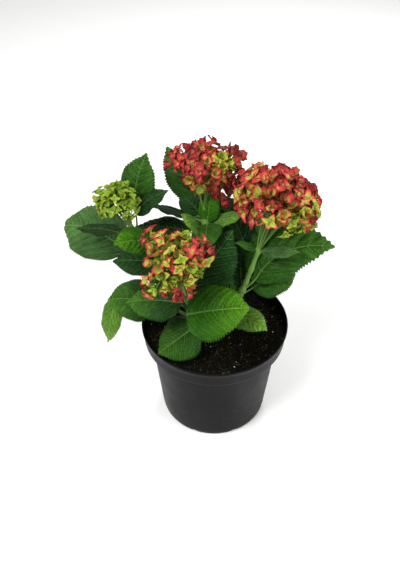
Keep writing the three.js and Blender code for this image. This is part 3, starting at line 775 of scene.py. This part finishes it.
FORKS = {"front": 0.76, "left": 0.94, "top": 0.92, "right": 0.88}
stalk_finish = bark_finish(
    "petiole_green", (0.105, 0.225, 0.03), (0.075, 0.16, 0.02), (0.14, 0.15, 0.05), 0.5
)
for number, (name, cane) in enumerate(CANES.items()):
    rows = cane[5]
    tiles = math.ceil(math.sqrt(2 * len(rows)))
    parts = [
        leaf_shell(row, leaf_base(cane, row), number * 20 + k, k, tiles) for k, row in enumerate(rows)
    ]
    starts = np.cumsum([0] + [len(part[0]) for part in parts[:-1]])
    corners = np.concatenate([part[0] for part in parts]) / 1000
    faces = np.concatenate([part[1] + start for part, start in zip(parts, starts)])
    mesh = bpy.data.meshes.new("leaves_" + name)
    mesh.from_pydata(corners.tolist(), [], faces.tolist())
    for label, k in (("OFBake", 3), ("blade", 2)):
        layer = mesh.uv_layers.new(name=label)
        layer.data.foreach_set("uv", np.concatenate([part[k] for part in parts]).reshape(-1))
    tints, edges = (np.concatenate([part[k] for part in parts]) for k in (4, 5))
    colour = mesh.attributes.new("tint", "FLOAT_COLOR", "POINT")
    colour.data.foreach_set("color", np.c_[tints, np.ones(len(tints))].reshape(-1))
    carry(mesh, edge=edges)
    leaves = mesh_object("leaves_" + name, mesh, leaf_finish)
    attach(leaves, "root")
    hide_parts("foliage_" + name)

    shares = np.linspace(cane[4] - 0.01, FORKS.get(name, 1), 46)
    strands = [([cane_point(cane, t) for t in shares], cane_radii(cane, shares), 0.45 - 0.45 * shares)]
    for row in rows:
        base, run = leaf_base(cane, row), np.linspace(0, 1, 14)
        point, along, left, face = midrib(row, base, 0.12)
        line = bow(cane_point(cane, row[0]), base, point[0] - face[0] * 0.9, run)
        size = (row[8] / TYPICAL_BLADE) ** 0.5
        radii = [size * (1.25 + 1.1 * math.exp(-t * 9) - 0.35 * t) for t in run]
        strands.append((line, radii, 0.35 * (1 - run)))
    stems = grown(
        "petioles_" + name, strands_mesh(strands), limb_tree, stalk_finish, Sides=12,
        Relief=0.0003, Grain=500.0,
    )
    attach(stems, "root")
    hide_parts("foliage_" + name)

# ---- the flower heads ----
# Mopheads of sterile florets: four pointed sepals round a small bud, each on a pedicel from one of the
# rays that fork at the cane's top. They open lime green and turn orange, then red, from the tips inwards.
SCREEN_RIGHT, SCREEN_UP = np.array([1, 0, 0]), np.array([0, 0.6717, 0.7408])
SCREEN_NEAR = np.array([0, -0.7408, 0.6717])
GOLDEN = math.pi * (3 - math.sqrt(5))
PER_SPRAY, HUBS = 8, 7
SEPAL_THICK, BUD, BUD_SIDES = 0.03, 0.09, 5
PEDICEL_RADII = [0.75, 0.7, 0.65, 0.6, 0.6, 0.8]

# A head: its lean, the length of its rays, its reach and depth, how far round its dome goes, sprays, a
# sepal's length, seed, how ripe, where on the cane its rays leave, patches that are riper or greener
# (where, seen from the front, how broad, how ripe) and sprays that hang out of the dome (where from its
# middle, and how ripe).
HEADS = {
    "front": (
        (-0.19, -0.15, 1), 50, 31, 19, 96, 12, 16.5, 3, 0.16, 0.74,
        [(0.86, 0.4, 0.3, 0.7), (0.95, 0.8, 0.2, 0.15), (-0.1, 0.2, 0.25, 0.55), (-0.7, 0.2, 0.2, 0.45),
         (-1.2, 0.9, 0.3, 0.65), (0.05, -1.05, 0.35, 0.65), (-1.2, -1.0, 0.22, 0.45)],
        [((27, 15, 16), 0.66), ((21, 5, 21), 0.62), ((7, -35, 6), 0.5), ((-7, -31, 10), 0.42),
         ((-34, 28, 0), 0.36), ((-22, 22, 8), 0.1), ((-33, -28, 6), 0.05)],
    ),
    "left": (
        (-0.24, -0.06, 1), 18, 21, 16, 103, 12, 12.5, 7, -0.2, 0.92, [],
        [((-22, 6, 4), -0.2), ((17, -12, 8), -0.1)],
    ),
    "top": (
        (0.07, 0.22, 1), 31, 26.5, 14.5, 84, 11, 19, 11, 0.6, 0.9,
        [(0.75, 0.0, 0.4, 0.02), (-0.25, -0.6, 0.22, 0.2), (-0.95, 0.45, 0.16, 0.4),
         (0.15, 0.35, 0.15, 0.45)],
        [((-35, 9, 2), 0.62), ((-26, 14, 4), 0.66), ((1, 24, 2), 0.66), ((-10, 16, 2), 0.6),
         ((24, 11, 3), 0.7), ((33, 8, 0), 0.6), ((32, 0, 4), 0.05), ((22, 4, 6), 0.15),
         ((-14, -14, 10), 0.52), ((2, -17, 10), 0.46), ((20, -20, 8), 0.66), ((24, -30, 6), 0.72),
         ((29, -10, 3), 0.4)],
    ),
    "right": (
        (0.4, 0.08, 1), 45, 42, 25, 97, 21, 20, 19, 0.62, 0.86,
        [(-0.5, 0.8, 0.16, 0.1), (0.1, 0.0, 0.2, 0.15), (-0.8, 0.2, 0.28, 0.3), (0.32, -0.62, 0.34, -0.05),
         (-0.3, -0.6, 0.22, 0.35), (0.8, -0.35, 0.18, 0.1), (0.45, 0.5, 0.22, 0.8)],
        [((-46, 20, 0), 0.62), ((-42, 6, 6), 0.42), ((-44, -6, 8), 0.58), ((-34, -16, 10), 0.62),
         ((-20, 26, 2), 0.35), ((8, -30, 12), 0.02), ((30, -24, 4), 0.05)],
    ),
}


def across(way):
    """Three unit vectors, the first along the given one and the other two across it."""
    forward = np.array(way, float) / np.linalg.norm(way)
    helper = np.array([0, 0, 1.0]) if abs(forward[2]) < 0.9 else np.array([1.0, 0, 0])
    sideways = np.cross(helper, forward)
    sideways /= np.linalg.norm(sideways)
    return forward, sideways, np.cross(forward, sideways)


def floret_mesh(name, pitch, curl, broad, seed):
    """Four sepals of length 1 as thin closed shells round a bud, opening along +Z."""
    ranks, files = 6, 4
    corners, faces, own_map, flat_map = [], [], [], []
    s = np.array([0.03, 0.15, 0.33, 0.54, 0.75, 0.9, 0.995])
    outline = s ** 0.7 * (1 - s) ** 0.8 / (0.467 ** 0.7 * 0.533 ** 0.8)
    q = np.linspace(-1, 1, files + 1)[None, :]
    for k in range(4):
        turn = k * math.pi / 2 + 0.5 * (chance(seed, k) - 0.5)
        length = 1 - 0.32 * chance(seed, k + 8)
        bend = pitch + 0.5 * (chance(seed, k + 12) - 0.5)
        bend = bend + (curl + 0.9 * (chance(seed, k + 20) - 0.5)) * (s - 0.3)
        stride = np.diff(s, prepend=0)
        out_way = (np.cumsum(np.cos(bend) * stride) * length)[:, None]
        up_way = (np.cumsum(np.sin(bend) * stride) * length)[:, None] + 0.04 * (k % 2)
        x = q * (outline * broad * (0.85 + 0.3 * chance(seed, k + 4)))[:, None]
        twist = 0.5 * (chance(seed, k + 16) - 0.5) * s[:, None]
        crumple = 0.05 * np.sin(9 * s[:, None] + 6 * chance(seed, k + 24)) * q * abs(q)
        z = up_way + 0.42 * abs(x) + twist * x + crumple
        r = out_way - 0.12 * abs(q) * outline[:, None]
        east, north = (r * math.cos(turn) - x * math.sin(turn), r * math.sin(turn) + x * math.cos(turn))
        upper = np.stack([east, north, z], -1)
        shell, number, under = two_sided(upper, upper - np.array([0, 0, SEPAL_THICK]), len(corners))
        corners += shell.tolist()
        for grid, flip in ((number, False), (under, True)):
            for i in range(ranks):
                for j in range(files):
                    spots = [(i, j), (i + 1, j), (i + 1, j + 1), (i, j + 1)]
                    if flip:
                        spots.reverse()
                    faces.append([int(grid[a]) for a in spots])
                    for a in spots:
                        own_map.append((0.5 + 0.5 * q[0, a[1]], s[a[0]]))
                        along, wide = 0.02 + 0.46 * s[a[0]], 0.11 * q[0, a[1]]
                        flat_map.append((along + (0.5 if flip else 0.0), 0.125 + 0.25 * k + wide))
    first = len(corners)
    for i in range(3):
        for j in range(BUD_SIDES):
            a, b = math.pi * (0.06 + 0.44 * i), 2 * math.pi * j / BUD_SIDES
            ring = BUD * math.sin(a)
            corners.append((ring * math.cos(b), ring * math.sin(b), 0.13 + BUD * math.cos(a)))
    for i in range(2):
        for j in range(BUD_SIDES):
            k = (j + 1) % BUD_SIDES
            low, high = first + (i + 1) * BUD_SIDES, first + i * BUD_SIDES
            faces.append([low + j, low + k, high + k, high + j])
            own_map += [(0.5, 0.0)] * 4
            flat_map += [(0.49, 0.01), (0.495, 0.01), (0.495, 0.015), (0.49, 0.015)]
    mesh = bpy.data.meshes.new(name)
    mesh.from_pydata(corners, [], faces)
    for label, values in (("OFBake", flat_map), ("sepal", own_map)):
        mesh.uv_layers.new(name=label).data.foreach_set("uv", np.array(values, float).reshape(-1))
    return mesh


# Four shapes of floret: how steeply its sepals rise, how they curl, how broad they are, and a seed.
FLORETS = {
    "flat": (0.6, -0.8, 0.29, 1), "cupped": (0.75, 0.7, 0.32, 2), "folded": (0.95, -1.5, 0.25, 3),
    "young": (1.05, 0.5, 0.3, 4),
}
CUPPED, YOUNG = 1, 3
floret_shapes = []
for label, values in FLORETS.items():
    floret_shapes.append(put("floret_" + label, floret_mesh("floret_" + label, *values)))

sepal_finish, tree, shader = finish("sepals", Roughness=0.6, Specular_IOR_Level=0.15)
own = result(tree, "ShaderNodeUVMap", uv_map="sepal")
split = add_node(tree, "ShaderNodeSeparateXYZ", {0: own})
blush = noise(tree, object_place(tree), 130, 4, 0.6)
edge = maths(tree, "ABSOLUTE", maths(tree, "MULTIPLY_ADD", split.outputs["X"], 2.0, -1.0))
rim = maths(tree, "MULTIPLY", maths(tree, "POWER", edge, 3.0), 0.3)
tipward = maths(tree, "MULTIPLY_ADD", split.outputs["Y"], 0.75, -0.4)
spotty = maths(tree, "MULTIPLY_ADD", blush, 0.6, -0.3)
turned = maths(tree, "ADD", maths(tree, "ADD", attribute(tree, "ripe"), tipward), rim)
ripened = graded(tree, maths(tree, "ADD", turned, spotty, clamp=True), [
    (0, (0.19, 0.34, 0.015)),
    (0.2, (0.33, 0.46, 0.03)),
    (0.34, (0.5, 0.42, 0.06)),
    (0.45, (0.54, 0.2, 0.06)),
    (0.55, (0.58, 0.05, 0.045)),
    (0.7, (0.5, 0.015, 0.035)),
    (0.9, (0.33, 0.006, 0.02)),
    (1, (0.12, 0.003, 0.008)),
])
wave = {"Vector": own, "Scale": 4.0, "Distortion": 2.5, "Detail": 2}
streak = add_node(tree, "ShaderNodeTexWave", wave).outputs["Fac"]
throat = remap(tree, split.outputs["Y"], 0.05, 0.5, 0.85, 0.12)
pale = maths(tree, "MULTIPLY", maths(tree, "POWER", streak, 1.6), throat)
fold = bump(tree, streak, 0.35, 0.0006)
dress(tree, shader, mix(tree, pale, ripened, (0.62, 0.5, 0.2)), bump(tree, blush, 0.3, 0.0008, fold))

floret_tree, given, out = new_tree(
    "florets", *(("Shape " + letter, "Object", None) for letter in "ABCD"), ("Tiles", "Float", 8.0)
)
turn = result(floret_tree, "FunctionNodeEulerToRotation", {0: stored(floret_tree, "turn", "FLOAT_VECTOR")})
gather = add_node(floret_tree, "GeometryNodeJoinGeometry")
for k, letter in enumerate("ABCD"):
    shape = add_node(floret_tree, "GeometryNodeObjectInfo", {"Object": given["Shape " + letter]})
    kind = {0: stored(floret_tree, "kind", "FLOAT"), 1: float(k), "Epsilon": 0.1}
    copies = result(floret_tree, "GeometryNodeInstanceOnPoints", {
        "Points": given["Mesh"], "Instance": shape.outputs["Geometry"], "Rotation": turn,
        "Selection": result(floret_tree, "FunctionNodeCompare", kind, operation="EQUAL"),
        "Scale": stored(floret_tree, "size", "FLOAT"),
    })
    floret_tree.links.new(copies, gather.inputs[0])
whole = result(floret_tree, "GeometryNodeRealizeInstances", {0: gather.outputs[0]})
flat = {0: stored(floret_tree, "OFBake", "FLOAT_VECTOR"), 1: stored(floret_tree, "tile", "FLOAT_VECTOR")}
moved = result(floret_tree, "ShaderNodeVectorMath", flat, operation="ADD")
tile_size = maths(floret_tree, "DIVIDE", 1.0, given["Tiles"])
packed = result(floret_tree, "ShaderNodeVectorMath", {0: moved, "Scale": tile_size}, operation="SCALE")
mapped = result(
    floret_tree, "GeometryNodeStoreNamedAttribute", {"Geometry": whole, "Name": "OFBake", "Value": packed},
    data_type="FLOAT2", domain="CORNER",
)
close_tree(floret_tree, mapped, given, out)

for name, head in HEADS.items():
    lean, rays, reach, depth, round_to, count, sepal, seed, ripeness, fork_at, patches, hanging = head
    cane = CANES[name]
    axis, sideways, other = across(lean)
    middle = cane_point(cane, 1) + axis * rays
    sprays = []
    for spray in range(count):
        polar = math.radians(round_to) * math.sqrt((spray + 0.5) / count)
        spread = swung(sideways, other, spray * GOLDEN + chance(seed, spray) * 0.5)
        far = reach * (0.78 + 0.32 * chance(seed, spray + 40))
        point = middle + spread * far * math.sin(polar) + axis * depth * math.cos(polar)
        normal = spread * math.sin(polar) * 0.8 + axis * (math.cos(polar) * 0.8 + 0.35)
        sprays.append((point, normal, None))
    for spray in range(count * 2 // 3):
        polar = math.radians(round_to - 8) * math.sqrt((spray + 0.5) / (count * 2 // 3))
        spread = swung(sideways, other, -spray * GOLDEN + seed)
        point = middle + spread * reach * 0.55 * math.sin(polar) + axis * depth * 0.5 * math.cos(polar)
        sprays.append((point, spread * math.sin(polar) + axis * math.cos(polar), "inner"))
    for (right, up, near), level in hanging:
        aside = SCREEN_RIGHT * right + SCREEN_UP * up + SCREEN_NEAR * near
        sprays.append((middle + aside, aside / np.linalg.norm(aside) + SCREEN_NEAR * 0.5, level))

    florets = []
    outer = 3 if name == "front" else 4
    for i in range(len(sprays) * PER_SPRAY):
        spray, child = divmod(i, PER_SPRAY)
        point, normal, level = sprays[spray]
        if level == "inner" and child > 3:
            continue
        flat, first, second = across(normal / np.linalg.norm(normal))
        aside = swung(first, second, child * 1.62 + chance(seed, spray + 80) * WHOLE_TURN)
        if level == "inner":
            point = point + aside * sepal * 0.4
            tilt, size, kind, older = 0.6, sepal * 0.8, CUPPED, -0.25
        elif child < outer:
            point = point + aside * sepal * 0.42 + flat * sepal * 0.4 * (chance(seed, i + 100) - 0.6)
            tilt, size = 0.15 + 0.75 * chance(seed, i + 140), sepal * (0.6 + 0.38 * chance(seed, i + 180))
            kind, older = int(chance(seed, i + 220) * YOUNG), 0.6 * (chance(seed, i + 20) - 0.5)
        elif child < 6:
            point = point - flat * sepal * (0.3 + 0.35 * (child - outer)) + aside * sepal * 0.35
            tilt, size, kind, older = 0.5, sepal * 0.6, YOUNG, -0.35 + 0.3 * (chance(seed, i + 20) - 0.5)
        else:
            point = point - flat * sepal * (0.9 + 0.5 * (child - 6)) + aside * sepal * 0.55
            tilt, size, kind, older = 0.7, sepal * 0.75, CUPPED, -0.3
        east, north = (point - middle) @ SCREEN_RIGHT / reach, (point - middle) @ SCREEN_UP / reach
        shade = level if isinstance(level, float) else ripeness
        for a, b, radius, here in patches:
            shade += (here - shade) * math.exp(-((east - a) ** 2 + (north - b) ** 2) / radius ** 2)
        facing = swung(flat, aside, tilt)
        spin = chance(seed, i + 60) * WHOLE_TURN
        florets.append((point, facing, spin, size, shade + older, kind))
    tiles = math.ceil(math.sqrt(len(florets)))
    mesh = bpy.data.meshes.new("florets")
    mesh.from_pydata([tuple(f[0] / 1000) for f in florets], [], [])
    turns, spots = [], []
    for k, (point, facing, spin, size, shade, kind) in enumerate(florets):
        upright = Vector(facing).to_track_quat("Z", "Y")
        turns += list((upright @ Euler((0, 0, spin)).to_quaternion()).to_euler())
        spots += [float(k % tiles), float(k // tiles), 0.0]
    for label, values in (("turn", turns), ("tile", spots)):
        mesh.attributes.new(label, "FLOAT_VECTOR", "POINT").data.foreach_set("vector", values)
    carry(
        mesh, size=[f[3] / 1000 for f in florets], ripe=[f[4] for f in florets],
        kind=[float(f[5]) for f in florets],
    )
    flowers = grown(
        "florets_" + name, mesh, floret_tree, sepal_finish, Tiles=float(tiles),
        **{"Shape " + letter: shape for letter, shape in zip("ABCD", floret_shapes)},
    )
    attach(flowers, "root")
    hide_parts("bloom_" + name)

    run = np.linspace(0, 1, 10)
    fork, tangent = cane_point(cane, fork_at), cane_tangent(cane, fork_at)
    hubs, strands = [], []
    for i in range(HUBS):
        spread = swung(sideways, other, i * GOLDEN + seed)
        hub = middle + spread * reach * 0.62 * math.sqrt(i / (HUBS - 1)) - axis * depth * 0.3
        hubs.append(hub)
        foot = fork + spread * 0.9 - tangent * 2
        shoulder = foot + tangent * 0.42 * np.linalg.norm(hub - foot) + spread * 7
        strands.append((bow(foot, shoulder, hub, run), [1.5 - 0.6 * t for t in run], 0.5 - 0.2 * run))
    for point, facing, spin, size, shade, kind in florets:
        hub = min(hubs, key=lambda h: np.linalg.norm(h - point))
        end = point + facing * 0.02 * size
        bend = end - facing * np.linalg.norm(end - hub) * 0.4
        strands.append((bow(hub, bend, end, run[::2]) + [end], PEDICEL_RADII, [0.0] * len(PEDICEL_RADII)))
    forked = grown(
        "rays_" + name, strands_mesh(strands), limb_tree, stalk_finish, Sides=7,
        Relief=0.0001, Grain=500.0,
    )
    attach(forked, "root")
    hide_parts("bloom_" + name)
for shape in floret_shapes:
    bpy.data.objects.remove(shape)
